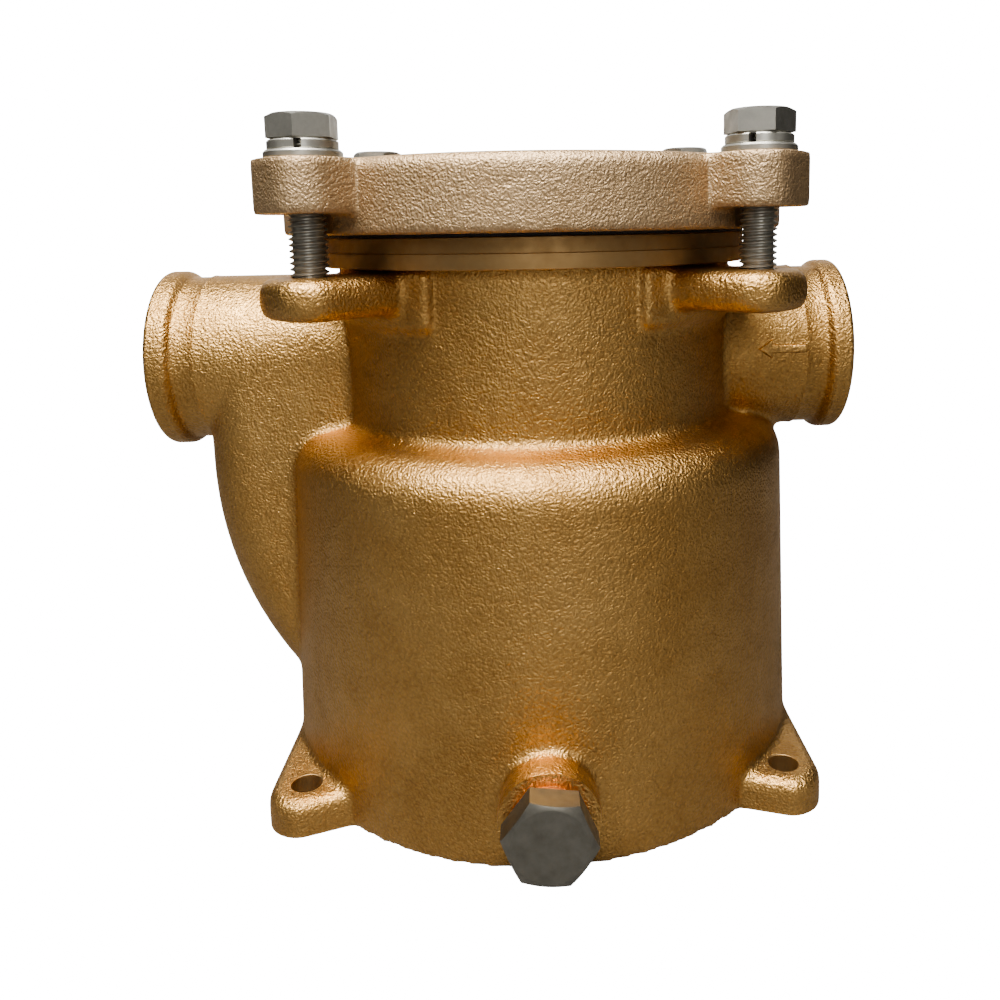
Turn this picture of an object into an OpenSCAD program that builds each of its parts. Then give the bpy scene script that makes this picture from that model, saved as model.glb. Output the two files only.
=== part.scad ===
// Cast bronze basket strainer with a bolted cover, two threaded ports and a drain plug.
// The origin is the centre of the barrel's underside: +Z up, +X out of the inlet port.

/* [Neck and rim] */
// Outer diameter of the neck, which the cover and the barrel follow
neck_d = 100; // [84:1:120]
// Thickness of the neck's wall
neck_wall = 6.5; // [5:0.5:7.5]
// Height of the neck, from the shoulder to the machined rim
neck_h = 37.8; // [36.8:0.2:46]
// Width of the machined rim outside the neck
rim_out = 4; // [3:0.5:5]
// Cut-back of the rim's upper land, on the radius
rim_step = 0.5; // [0.2:0.1:1]
// Height of the machined rim
rim_h = 7; // [5.5:0.5:9]

/* [Barrel] */
// Step out from the neck to the barrel's wall
shoulder_w = 13.5; // [11.5:0.5:16.5]
// Radius of the curve between the barrel's wall and the shoulder
shoulder_r = 10; // [6:0.5:11]
// Rise of the shoulder from that curve to the neck
shoulder_rise = 1.5; // [0.5:0.5:3]
// Growth of the barrel's radius from the shoulder down to the foot
barrel_draft = 2; // [0.5:0.5:3]
// Thickness of the barrel's wall
barrel_wall = 6; // [4.5:0.5:7.5]
// Thickness of the closed bottom
floor_t = 9; // [7:0.5:11]
// Height of the straight wall, up to the shoulder's curve
barrel_h = 77; // [64:1:93]

/* [Ports] */
// Rise of the port axis above the shoulder
port_rise = 14.5; // [14:0.5:16]
// Bore of the port thread (G1 minor diameter)
port_bore_d = 30.3; // [25:0.1:31]
// Length of the threaded bore
port_thread_l = 14; // [12:0.5:14]
// Bore of the water way behind the thread
port_way_d = 28; // [23:0.5:29]
// Outer diameter of the pipe stub
pipe_d = 41.5; // [38:0.5:43]
// Outer diameter of the collar at the mouth
collar_d = 44.5; // [44:0.5:50]
// Length of the collar
collar_l = 6; // [4:0.5:8]
// Length of the inlet stub past the barrel's wall
inlet_stub = 14.7; // [12:0.1:20]
// Length of the outlet stub past the side passage
outlet_stub = 10.1; // [8:0.1:20]

/* [Side passage] */
// Stand-off of the passage's outer face from the barrel's wall
passage_out = 20.7; // [18:0.1:25]
// Radius of the passage's outer curve
passage_r = 90; // [80:1:106]
// Drop from the port axis to where the curve starts
passage_drop = 25; // [22:0.5:30]
// Radius of the passage's rounded edges
passage_edge_r = 12; // [8:1:15]
// Wall of the passage
passage_wall = 5.5; // [4:0.5:7]
// Inner width of the passage
passage_w = 30; // [24:1:31]
// Height of the passage's lower lip above the closed bottom
passage_lip = 20; // [16:1:30]
// Thickness left between the passage and the neck's outside
passage_back = 4; // [3:0.5:5]

/* [Feet] */
// How much narrower the foot holes' spacing is than the barrel's foot, left to right
foot_x_in = 19; // [15:1:23]
// How much narrower the foot holes' spacing is than the barrel's foot, front to back
foot_y_in = 45; // [37:1:54]
// Diameter of the foot holes
foot_hole_d = 7; // [5.5:0.5:8.5]
// Radius of the foot around its hole
foot_r = 8.5; // [7:0.5:10.5]
// Thickness of a foot
foot_t = 8; // [6:0.5:10]
// Distance from the hole to where the foot's end edge meets the barrel
foot_root_in = 11; // [9:0.5:14]

/* [Cover] */
// Overhang of the cover past the neck
cover_out = 12.5; // [10:0.5:13]
// Height of the cover's edge
cover_t = 16; // [13:0.5:20]
// Thickness of the cover's top plate
cover_plate_t = 7; // [5:0.5:9]
// Radius of the cover's top edge
cover_edge_r = 2.5; // [1:0.5:3]
// Thickness of a cover lug
cover_lug_t = 11.3; // [9:0.1:12.5]
// Drop of the lug's top below the cover's top
cover_lug_drop = 0.2; // [0.1:0.1:1]
// Depth of the locating ring inside the neck
spigot_h = 3.5; // [2.5:0.5:4.5]
// Width of the locating ring
spigot_w = 5; // [4:0.5:6]
// Gap around the gasket in its groove, on the radius
gasket_fit = 0.1; // [0.05:0.05:0.3]
// Running gap between the locating ring and the neck
spigot_gap = 0.4; // [0.3:0.1:1]
// Thickness of the cover gasket
gasket_t = 2; // [1.5:0.1:3]
// Part of the gasket that stands out of its groove
gasket_proud = 0.6; // [0.3:0.1:1]

/* [Lugs] */
// Distance of a bolt's side from the cover's edge
bolt_out = 0.5; // [0.5:0.5:4]
// Half width of a lug
lug_half_w = 10.5; // [9.5:0.5:12.5]
// Length of a lug past its bolt
lug_tip = 9.5; // [8.5:0.5:11.5]
// Corner radius of a lug's tip
lug_corner_r = 8; // [5:0.5:8.5]
// Thickness of a body lug
body_lug_t = 9; // [7:0.5:11]
// Drop of the body lug's top below the rim
body_lug_drop = 0.9; // [0.5:0.1:2]
// Stand-off of the pad at the body lug's root
pad_t = 2.2; // [1:0.1:3]
// Half width of that pad
pad_half_w = 16; // [14:0.5:19]
// Height of that pad below the lug
pad_drop = 3.5; // [2:0.5:5]

/* [Cover bolts] */
// Thread diameter of a cover bolt
bolt_d = 8; // [6.5:0.5:9.5]
// Height of a cover bolt's end above the body lug's underside
bolt_short = 1.9; // [1:0.1:3]
// Width across flats of the bolt head
bolt_af = 13; // [11:0.5:15.5]
// Height of the bolt head
bolt_head_h = 5.3; // [4:0.1:6.5]
// Running gap around the bolt in the body lug, on the radius
bolt_run = 0.05; // [0.02:0.01:0.09]
// Gap around the bolt in the cover lug, on the radius
bolt_clear = 0.5; // [0.3:0.1:0.8]
// Gap around the bolt in its washers, on the radius
washer_clear = 0.2; // [0.1:0.1:0.4]
// Gap around the flat washer in its spot face, on the radius
spot_gap = 0.6; // [0.3:0.1:1]
// Turn of each bolt head about its axis
bolt_turn = [29, 41, 12, 53]; // [0:1:60]
// Width of the flat washer's ring
washer_w = 3.8; // [3:0.1:4.5]
// Thickness of the flat washer
washer_t = 1.6; // [1.3:0.1:2]
// Width of the spring washer's ring
spring_w = 3; // [2.5:0.1:3.6]
// Thickness of the spring washer
spring_t = 2; // [1.6:0.1:2.4]
// Width of the spring washer's slit
spring_slit = 1.2; // [0.6:0.1:2]
// Direction in which each slit faces
slit_turn = [275, 245, 100, 60]; // [0:1:360]

/* [Basket] */
// Drop of the basket's seat below the shoulder
seat_drop = 6.5; // [5.5:0.5:7.5]
// Width of the seat
seat_w = 6.5; // [5.5:0.5:8]
// Thickness of the seat
seat_t = 4.5; // [3.5:0.5:5.5]
// Thickness of the perforated sheet
sheet_t = 0.8; // [0.6:0.1:1.5]
// Gap between the sheet and the pieces welded to it
weld_gap = 0.05; // [0.02:0.01:0.1]
// Height of the basket's underside above the closed bottom
basket_gap = 10; // [8:0.5:16]
// Gap around the basket's wall in its seat
seat_gap = 1; // [0.5:0.5:2]
// Gap around the basket's rim in the neck
rim_gap = 0.6; // [0.4:0.1:1.5]
// Thickness of the basket's rim
basket_rim_t = 3; // [2:0.5:3.5]
// Thickness of the seal under the basket's rim
basket_seal_t = 1; // [0.8:0.1:1.5]
// Diameter of the wall's perforations
hole_d = 5; // [3.5:0.5:6]
// Perforations in one row around the wall
hole_count = 12; // [8:1:20]
// Rows of perforations up the wall
hole_rows = 4; // [3:1:6]

/* [Basket handle] */
// Diameter of the handle's wire
wire_d = 3; // [2:0.5:3]
// Gap between the handle and the neck
handle_gap = 5; // [4.5:0.5:5.5]
// Height of the handle's pivot above the rim
pivot_h = 2.6; // [2.4:0.1:4]
// Gap between the inside of the basket's wall and its handle ears
ear_in = 0.4; // [0.4:0.1:0.8]
// Thickness of a handle ear
ear_t = 1.5; // [1:0.1:2]
// Half width of a handle ear
ear_half_w = 4; // [3:0.5:5]
// Length of a handle ear below the basket's rim
ear_down = 8; // [6:1:10]
// Height of a handle ear above its pivot
ear_over = 3; // [2.5:0.5:4]
// Length of a handle pin inside its ear
pin_in = 0.5; // [0.2:0.1:0.8]
// Running gap around the handle's pins, on the radius
pin_run = 0.08; // [0.02:0.01:0.1]

/* [Drain] */
// Rise of the drain hole's lower edge above the closed bottom
drain_rise = 2.2; // [1.5:0.1:4]
// Thread diameter of the drain plug
drain_d = 10; // [8:0.5:12]
// Length of the drain plug under its head
drain_l = 16; // [13:0.5:16]
// Width across flats of the plug's head
drain_af = 17; // [14:0.5:20.5]
// Height of the plug's head
drain_head_h = 6.4; // [5:0.1:8]
// Turn of the plug's head about its axis
drain_turn = -7; // [-30:1:30]
// Running gap around the plug, on the radius
drain_run = 0.05; // [0.02:0.01:0.09]
// Diameter of the drain boss
drain_boss_d = 21; // [17.5:0.5:25]
// Stand-off of the boss's face from the barrel's foot
drain_out = 7.5; // [6:0.5:9]
// Width of the copper sealing washer's ring
drain_seal_w = 2.8; // [2:0.1:3.5]
// Thickness of the copper sealing washer
drain_seal_t = 1.5; // [1:0.1:2]

/* [Hidden] */
$fn = 96;
corners = ["front_left", "front_right", "rear_right", "rear_left"];
corner_turn = [225, 315, 45, 135];

cut = 1;
arc_steps = 6;
neck_r = neck_d / 2;
neck_bore_r = neck_r - neck_wall;
rim_r = neck_r + rim_out;
rim_land_r = rim_r - rim_step;
barrel_r = neck_r + shoulder_w;
base_r = barrel_r + barrel_draft;
cavity_r = barrel_r - barrel_wall;
shoulder_z = barrel_h + shoulder_r + shoulder_rise;
rim_z = shoulder_z + neck_h;
rim_top_z = rim_z + rim_h;
port_z = shoulder_z + port_rise;
inlet_reach = barrel_r + inlet_stub;
passage_reach = barrel_r + passage_out;
outlet_reach = passage_reach + outlet_stub;
passage_z = port_z - passage_drop;
way_x = neck_r + passage_back;
foot_x = 2 * base_r - foot_x_in;
foot_y = 2 * base_r - foot_y_in;

cover_r = neck_r + cover_out;
cover_z = rim_top_z + gasket_proud;
cover_top_z = cover_z + cover_t;
cover_lug_top_z = cover_top_z - cover_lug_drop;
cover_lug_z = cover_lug_top_z - cover_lug_t;
body_lug_z = rim_z - body_lug_drop - body_lug_t;
spigot_r = neck_bore_r - spigot_gap;
bolt_pcr = cover_r + bolt_out + bolt_d / 2;
washer_bore_r = bolt_d / 2 + washer_clear;
washer_r = washer_bore_r + washer_w;
spring_z = cover_lug_top_z + washer_t;
head_z = spring_z + spring_t;
bolt_l = head_z - body_lug_z - bolt_short;

seat_z = shoulder_z - seat_drop;
seat_bore_r = neck_bore_r - seat_w;
basket_r = seat_bore_r - seat_gap;
basket_z = floor_t + basket_gap;
basket_rim_z = seat_z + basket_seal_t;
basket_top_z = basket_rim_z + basket_rim_t;
basket_rim_r = neck_bore_r - rim_gap;
hole_pitch = (seat_z - seat_t - basket_z) / hole_rows;
pivot_z = basket_top_z + pivot_h;
handle_r = neck_bore_r - handle_gap - wire_d / 2;
ear_x = basket_r - sheet_t - ear_in - ear_t;

drain_z = floor_t + drain_rise + drain_d / 2;
drain_reach = base_r + drain_out;
drain_head_y = drain_reach + drain_seal_t;

all_x = 2 * outlet_reach;
all_y = 2 * drain_reach;

function arc(cx, cy, r, from, to) =
    [for (i = [0:arc_steps]) let (a = from + (to - from) * i / arc_steps) [cx + r * cos(a), cy + r * sin(a)]];

module ring(outer_r, inner_r, h) {
    difference() {
        cylinder(r = outer_r, h = h);
        translate([0, 0, -cut]) cylinder(r = inner_r, h = h + 2 * cut);
    }
}

module along_x(x = 0, z = 0) {
    translate([x, 0, z]) rotate([0, 90, 0]) children();
}

module at_corner(i, z = 0) {
    rotate([0, 0, corner_turn[i]]) translate([bolt_pcr, 0, z]) children();
}

// A straight tongue with rounded corners, from the axis out along +X
module tongue(reach, half_w, corner_r, h) {
    linear_extrude(h) {
        translate([0, -half_w]) square([reach - corner_r, 2 * half_w]);
        translate([0, corner_r - half_w]) square([reach, 2 * (half_w - corner_r)]);
        for (side = [-1, 1])
            translate([reach - corner_r, side * (half_w - corner_r)]) circle(corner_r);
    }
}

// The bronze casting, drawn whole and then parted at flat faces
module body_outline() {
    rotate_extrude() polygon(concat(
        [[0, 0], [base_r, 0]],
        arc(barrel_r - shoulder_r, barrel_h, shoulder_r, 0, 90),
        [[neck_r, shoulder_z], [neck_r, rim_z], [rim_r, rim_z], [rim_r, rim_z + rim_h / 2],
         [rim_land_r, rim_z + rim_h / 2], [rim_land_r, rim_top_z], [0, rim_top_z]]
    ));
}

module foot() {
    root_x = foot_x / 2 - foot_root_in;
    root_y = sqrt(pow(base_r, 2) - pow(root_x, 2));
    linear_extrude(foot_t) {
        polygon([[0, 0], [foot_x / 2 + foot_r, 0], [foot_x / 2 + foot_r, foot_y / 2],
                 [foot_x / 2, foot_y / 2 + foot_r], [root_x, root_y]]);
        translate([foot_x / 2, foot_y / 2]) circle(foot_r);
    }
}

module feet() {
    for (mx = [0, 1], my = [0, 1])
        mirror([mx, 0, 0]) mirror([0, my, 0]) foot();
}

module body_lugs() {
    for (i = [0:3]) rotate([0, 0, corner_turn[i]]) {
        translate([0, 0, body_lug_z]) tongue(bolt_pcr + lug_tip, lug_half_w, lug_corner_r, body_lug_t);
        intersection() {
            translate([0, 0, body_lug_z - pad_drop])
                cylinder(r = neck_r + pad_t, h = rim_z - body_lug_z + pad_drop);
            translate([0, -pad_half_w, 0]) cube([neck_r + pad_t, 2 * pad_half_w, rim_z]);
        }
    }
}

module pipe(reach) {
    along_x(0, port_z) cylinder(d = pipe_d, h = reach);
    along_x(reach - collar_l, port_z) cylinder(d = collar_d, h = collar_l);
}

// The side passage's cross-section, its outer face at x = reach
module passage_section(reach) {
    half_w = pipe_d / 2;
    square_w = half_w - passage_edge_r;
    translate([reach - barrel_r, -half_w]) square([barrel_r - passage_edge_r, pipe_d]);
    translate([reach - barrel_r, -square_w]) square([barrel_r, 2 * square_w]);
    for (side = [-1, 1])
        translate([reach - passage_edge_r, side * square_w]) circle(passage_edge_r);
}

module passage() {
    mirror([1, 0, 0]) translate([0, 0, passage_z]) {
        linear_extrude(port_z - passage_z) passage_section(passage_reach);
        translate([passage_reach - passage_r, 0, 0]) rotate([90, 0, 0]) mirror([0, 1, 0])
            rotate_extrude(angle = 45) passage_section(passage_r);
    }
}

// The water way: straight below the port, then curved into the barrel
module passage_way() {
    depth = passage_reach - passage_wall - way_x;
    lip_z = floor_t + passage_lip;
    translate([-way_x - depth, -passage_w / 2, passage_z]) cube([depth, passage_w, port_z - passage_z]);
    intersection() {
        translate([passage_r - passage_reach, 0, passage_z]) rotate([90, 0, 0])
            cylinder(r = passage_r - passage_wall, h = passage_w, center = true);
        translate([-way_x - depth, -passage_w / 2, lip_z]) cube([depth, passage_w, passage_z - lip_z]);
    }
}

module body_hollow() {
    translate([0, 0, floor_t]) cylinder(r = cavity_r, h = seat_z - seat_t - floor_t);
    translate([0, 0, floor_t]) cylinder(r = seat_bore_r, h = rim_top_z);
    translate([0, 0, seat_z]) cylinder(r = neck_bore_r, h = rim_top_z);
    passage_way();
    along_x(0, port_z) cylinder(d = port_way_d, h = inlet_reach + cut);
    along_x(inlet_reach - port_thread_l, port_z) cylinder(d = port_bore_d, h = port_thread_l + cut);
    mirror([1, 0, 0]) along_x(way_x, port_z) cylinder(d = port_way_d, h = outlet_reach);
    mirror([1, 0, 0]) along_x(outlet_reach - port_thread_l, port_z)
        cylinder(d = port_bore_d, h = port_thread_l + cut);
}

module casting() {
    difference() {
        union() {
            body_outline();
            feet();
            body_lugs();
            pipe(inlet_reach);
            mirror([1, 0, 0]) pipe(outlet_reach);
            passage();
            translate([0, 0, drain_z]) rotate([90, 0, 0]) cylinder(d = drain_boss_d, h = drain_reach);
        }
        body_hollow();
        for (i = [0:3])
            at_corner(i, body_lug_z - cut) cylinder(r = bolt_d / 2 + bolt_run, h = body_lug_t + 2 * cut);
        for (x = [-1, 1], y = [-1, 1])
            translate([x * foot_x / 2, y * foot_y / 2, -cut]) cylinder(d = foot_hole_d, h = foot_t + 2 * cut);
        translate([0, 0, drain_z]) rotate([90, 0, 0])
            cylinder(r = drain_d / 2 + drain_run, h = drain_reach + cut);
    }
}

// Everything beyond the barrel on the inlet's side
module inlet_part() {
    translate([barrel_r, -all_y, barrel_h]) cube([all_x, 2 * all_y, rim_top_z]);
}

// Everything beyond the barrel's foot on the outlet's side
module outlet_part() {
    translate([-base_r - all_x, -all_y, floor_t]) cube([all_x, 2 * all_y, rim_top_z]);
}

module above_seat() {
    translate([-all_x, -all_y, seat_z]) cube([2 * all_x, 2 * all_y, rim_top_z]);
}

// The barrel with the basket's seat, the feet and the drain boss
module barrel() {
    color("peru") difference() {
        casting();
        above_seat();
        inlet_part();
        outlet_part();
    }
}

// The shoulder, the neck with its rim, and the body lugs
module neck() {
    color("sandybrown") difference() {
        intersection() {
            casting();
            above_seat();
        }
        inlet_part();
        outlet_part();
    }
}

module inlet_stub() {
    color("tan") intersection() {
        casting();
        inlet_part();
    }
}

module outlet_passage() {
    color("burlywood") intersection() {
        casting();
        outlet_part();
    }
}

// Cover and its gasket
module cover() {
    groove_t = gasket_t - gasket_proud;
    color("rosybrown") difference() {
        union() {
            rotate_extrude() polygon(concat(
                [[0, cover_z], [cover_r, cover_z]],
                arc(cover_r - cover_edge_r, cover_top_z - cover_edge_r, cover_edge_r, 0, 90),
                [[0, cover_top_z]]
            ));
            for (i = [0:3]) rotate([0, 0, corner_turn[i]]) translate([0, 0, cover_lug_z])
                tongue(bolt_pcr + lug_tip, lug_half_w, lug_corner_r, cover_lug_t);
            translate([0, 0, cover_z - spigot_h]) cylinder(r = spigot_r, h = spigot_h + cut);
        }
        translate([0, 0, cover_z - spigot_h - cut])
            cylinder(r = spigot_r - spigot_w, h = cover_t + spigot_h + cut - cover_plate_t);
        translate([0, 0, cover_z - cut]) ring(rim_land_r + gasket_fit, spigot_r, groove_t + cut);
        for (i = [0:3]) {
            at_corner(i, cover_lug_z - cut) cylinder(r = bolt_d / 2 + bolt_clear, h = cover_lug_t + 2 * cut);
            at_corner(i, cover_lug_top_z) cylinder(r = washer_r + spot_gap, h = cover_t);
        }
    }
}

module cover_gasket() {
    color("dimgray") translate([0, 0, rim_top_z]) ring(rim_land_r, neck_bore_r, gasket_t);
}

// Cover bolts and washers
module hex_head(af, h) {
    cylinder(d = af / cos(30), h = h, $fn = 6);
}

module cover_bolt(i) {
    color("slategray") at_corner(i) {
        translate([0, 0, head_z]) rotate([0, 0, bolt_turn[i] - corner_turn[i]])
            hex_head(bolt_af, bolt_head_h);
        translate([0, 0, head_z - bolt_l]) cylinder(d = bolt_d, h = bolt_l + cut);
    }
}

module spring_washer(i) {
    color("gray") at_corner(i, spring_z) difference() {
        ring(washer_bore_r + spring_w, washer_bore_r, spring_t);
        rotate([0, 0, slit_turn[i] - corner_turn[i]]) translate([0, -spring_slit / 2, -cut])
            cube([washer_r, spring_slit, spring_t + 2 * cut]);
    }
}

module flat_washer(i) {
    color("silver") at_corner(i, cover_lug_top_z) ring(washer_r, washer_bore_r, washer_t);
}

// Basket
module basket_shell() {
    color("lightgray") difference() {
        translate([0, 0, basket_z]) ring(basket_r, basket_r - sheet_t, basket_top_z - basket_z);
        for (row = [0:hole_rows - 1], k = [0:hole_count - 1])
            rotate([0, 0, (k + (row % 2) / 2) * 360 / hole_count])
                along_x(basket_r / 2, basket_z + (row + 0.5) * hole_pitch)
                    cylinder(d = hole_d, h = basket_r);
    }
}

module basket_bottom() {
    plate_r = basket_r - sheet_t - weld_gap;
    rings = 3;
    color("lightgray") translate([0, 0, basket_z]) difference() {
        cylinder(r = plate_r, h = sheet_t);
        for (n = [1:rings], k = [1:6 * n])
            rotate([0, 0, k * 60 / n]) translate([n * plate_r / (rings + 0.8), 0, -cut])
                cylinder(d = hole_d, h = sheet_t + 2 * cut);
    }
}

module basket_rim() {
    color("silver") translate([0, 0, basket_rim_z]) ring(basket_rim_r, basket_r + weld_gap, basket_rim_t);
}

module basket_seal() {
    color("black") translate([0, 0, seat_z]) ring(basket_rim_r, seat_bore_r, basket_seal_t);
}

module handle_ears() {
    color("silver") for (side = [0, 1]) mirror([side, 0, 0]) difference() {
        translate([ear_x, -ear_half_w, basket_top_z - ear_down])
            cube([ear_t, 2 * ear_half_w, ear_down + pivot_h + ear_over]);
        along_x(ear_x - cut, pivot_z) cylinder(r = wire_d / 2 + pin_run, h = ear_t + 2 * cut);
    }
}

module basket_handle() {
    color("silver") translate([0, 0, pivot_z]) {
        rotate([0, 0, 180]) rotate_extrude(angle = 180) translate([handle_r, 0]) circle(d = wire_d);
        for (side = [0, 1]) mirror([side, 0, 0]) {
            translate([handle_r, 0, 0]) sphere(d = wire_d);
            along_x(ear_x - pin_in) cylinder(d = wire_d, h = handle_r - ear_x + pin_in);
        }
    }
}

// Drain plug and its copper washer
module drain_plug() {
    color("slategray") translate([0, -drain_head_y, drain_z]) rotate([90, 0, 0]) {
        rotate([0, 0, drain_turn]) hex_head(drain_af, drain_head_h);
        translate([0, 0, -drain_l]) cylinder(d = drain_d, h = drain_l + cut);
    }
}

module drain_washer() {
    color("chocolate") translate([0, -drain_reach, drain_z]) rotate([90, 0, 0])
        ring(drain_d / 2 + washer_clear + drain_seal_w, drain_d / 2 + washer_clear, drain_seal_t);
}

barrel();
neck();
inlet_stub();
outlet_passage();
cover();
cover_gasket();
basket_shell();
basket_bottom();
basket_rim();
basket_seal();
handle_ears();
basket_handle();
drain_plug();
drain_washer();
for (i = [0:3]) cover_bolt(i);
for (i = [0:3]) spring_washer(i);
for (i = [0:3]) flat_washer(i);
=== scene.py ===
import math

import bmesh
import bpy
from mathutils import Matrix, Vector


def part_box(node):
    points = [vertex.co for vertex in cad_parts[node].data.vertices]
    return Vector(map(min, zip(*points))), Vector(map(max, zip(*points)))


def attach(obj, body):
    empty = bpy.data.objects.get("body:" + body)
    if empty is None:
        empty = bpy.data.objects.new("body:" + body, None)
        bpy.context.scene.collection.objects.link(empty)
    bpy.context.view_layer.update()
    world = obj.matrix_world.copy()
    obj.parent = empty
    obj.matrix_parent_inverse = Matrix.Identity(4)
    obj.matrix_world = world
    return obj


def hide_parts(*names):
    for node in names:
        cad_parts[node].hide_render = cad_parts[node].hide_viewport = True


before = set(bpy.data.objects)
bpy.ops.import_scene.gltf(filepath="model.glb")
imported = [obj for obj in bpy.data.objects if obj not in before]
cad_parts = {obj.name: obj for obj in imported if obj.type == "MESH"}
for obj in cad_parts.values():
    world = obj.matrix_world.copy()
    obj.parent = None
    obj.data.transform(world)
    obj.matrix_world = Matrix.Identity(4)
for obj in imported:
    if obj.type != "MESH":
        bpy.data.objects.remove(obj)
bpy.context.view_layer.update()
mm = 0.001
corners = {"front_left": 225, "front_right": 315, "rear_right": 45, "rear_left": 135}
print("frame loaded")


def around(cx, cy, radius, start, end, steps):
    # points of an arc, angles in degrees
    points = []
    for i in range(steps + 1):
        angle = math.radians(start + (end - start) * i / steps)
        points.append((cx + radius * math.cos(angle), cy + radius * math.sin(angle)))
    return points


def lathe(profile, steps=96, faceMaterial=0):
    # a closed profile of (radius, height) points in mm, spun about +Z
    bm = bmesh.new()
    verts = [bm.verts.new((r * mm, 0, z * mm)) for r, z in profile]
    edges = [bm.edges.new((a, b)) for a, b in zip(verts, verts[1:] + verts[:1])
             if max(a.co.x, b.co.x) > 1e-7]
    bmesh.ops.spin(bm, geom=verts + edges, axis=(0, 0, 1), cent=(0, 0, 0),
                   angle=2 * math.pi, steps=steps, use_merge=True)
    return closed(bm, faceMaterial)


def prism(outline, low, high, faceMaterial=0, soft=0):
    # an outline of (x, y) points in mm, raised from low to high, its rims eased by soft
    bm = bmesh.new()
    face = bm.faces.new([bm.verts.new((x * mm, y * mm, low * mm)) for x, y in outline])
    raised = bmesh.ops.extrude_face_region(bm, geom=[face])
    bmesh.ops.translate(bm, vec=(0, 0, (high - low) * mm), verts=newVerts(raised))
    closed(bm, faceMaterial)
    if soft:
        rims = [e for e in bm.edges if abs(e.verts[0].co.z - e.verts[1].co.z) < 1e-7]
        bmesh.ops.bevel(bm, geom=rims, offset=soft * mm, segments=4, profile=0.5,
                        affect="EDGES", material=-1)
    return bm


def newVerts(made):
    # the vertices among an operator's results
    return [v for v in made["geom"] if isinstance(v, bmesh.types.BMVert)]


def closed(bm, faceMaterial=0):
    bmesh.ops.remove_doubles(bm, verts=bm.verts, dist=1e-6)
    bmesh.ops.dissolve_degenerate(bm, edges=bm.edges, dist=1e-7)
    bmesh.ops.recalc_face_normals(bm, faces=bm.faces)
    for face in bm.faces:
        face.material_index = faceMaterial
    return bm


def placed(bm, matrix):
    bmesh.ops.transform(bm, matrix=matrix, verts=bm.verts)
    if matrix.to_3x3().determinant() < 0:
        bmesh.ops.reverse_faces(bm, faces=bm.faces)
    return bm


def at(x=0, y=0, z=0):
    return Matrix.Translation((x * mm, y * mm, z * mm))


def turn(degrees, axis="Z"):
    return Matrix.Rotation(math.radians(degrees), 4, axis)


def joined(parts):
    # several closed shells in one bmesh
    whole = bmesh.new()
    for part in parts:
        mesh = bpy.data.meshes.new("part")
        part.to_mesh(mesh)
        part.free()
        whole.from_mesh(mesh)
        bpy.data.meshes.remove(mesh)
    return whole


def asObject(name, bm, materials):
    mesh = bpy.data.meshes.new(name)
    bm.to_mesh(mesh)
    bm.free()
    for material in materials:
        mesh.materials.append(material)
    obj = bpy.data.objects.new(name, mesh)
    bpy.context.scene.collection.objects.link(obj)
    return obj


def bake(obj):
    # the modifiers' result becomes the mesh
    bpy.context.view_layer.update()
    evaluated = obj.evaluated_get(bpy.context.evaluated_depsgraph_get())
    mesh = bpy.data.meshes.new_from_object(evaluated, preserve_all_data_layers=True,
                                           depsgraph=bpy.context.evaluated_depsgraph_get())
    obj.modifiers.clear()
    obj.data = mesh
    return obj


def cast(obj, voxel, rounds):
    # one skin over all shells, with the fillets that a sand casting has
    remesh = obj.modifiers.new("skin", "REMESH")
    remesh.mode = "VOXEL"
    remesh.voxel_size = voxel * mm
    remesh.use_smooth_shade = True
    smooth = obj.modifiers.new("fillets", "SMOOTH")
    smooth.factor = 0.5
    smooth.iterations = rounds
    return bake(obj)


def combine(obj, bm, operation):
    tool = asObject("tool", bm, list(obj.data.materials))
    boolean = obj.modifiers.new("cut", "BOOLEAN")
    boolean.operation = operation
    boolean.solver = "MANIFOLD"
    boolean.object = tool
    bake(obj)
    bpy.data.objects.remove(tool)
    return obj


def crisp(obj, degrees=35):
    obj.data.shade_smooth()
    obj.data.set_sharp_from_angle(angle=math.radians(degrees))
    return obj


def install(obj, body, slot, *nodes):
    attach(obj, body)
    if nodes:
        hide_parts(*nodes)
    return obj


def newGroup(name, inputs, outputs):
    group = bpy.data.node_groups.new(name, "ShaderNodeTree")
    for label, kind, value in inputs:
        socket = group.interface.new_socket(label, in_out="INPUT", socket_type=kind)
        socket.default_value = value
    for label, kind in outputs:
        group.interface.new_socket(label, in_out="OUTPUT", socket_type=kind)
    return group, group.nodes.new("NodeGroupInput"), group.nodes.new("NodeGroupOutput")


def node(tree, kind, links=None, **settings):
    made = tree.nodes.new(kind)
    for key, value in settings.items():
        setattr(made, key, value)
    for key, value in (links or {}).items():
        socket = made.inputs[key]
        if isinstance(value, bpy.types.NodeSocket):
            tree.links.new(value, socket)
        else:
            socket.default_value = value
    return made


def blend(tree, factor, first, second):
    # a colour mix, its sockets by place: factor 0, first 6, second 7
    return node(tree, "ShaderNodeMix", {0: factor, 6: first, 7: second}, data_type="RGBA").outputs[2]


def calc(tree, kind, a, b):
    # one step of arithmetic on two values
    return node(tree, "ShaderNodeMath", {0: a, 1: b}, operation=kind).outputs[0]


def ramp(tree, value, low, high, toLow=0.0, toHigh=1.0):
    return node(tree, "ShaderNodeMapRange",
                {"Value": value, "From Min": low, "From Max": high,
                 "To Min": toLow, "To Max": toHigh}).outputs[0]


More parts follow.
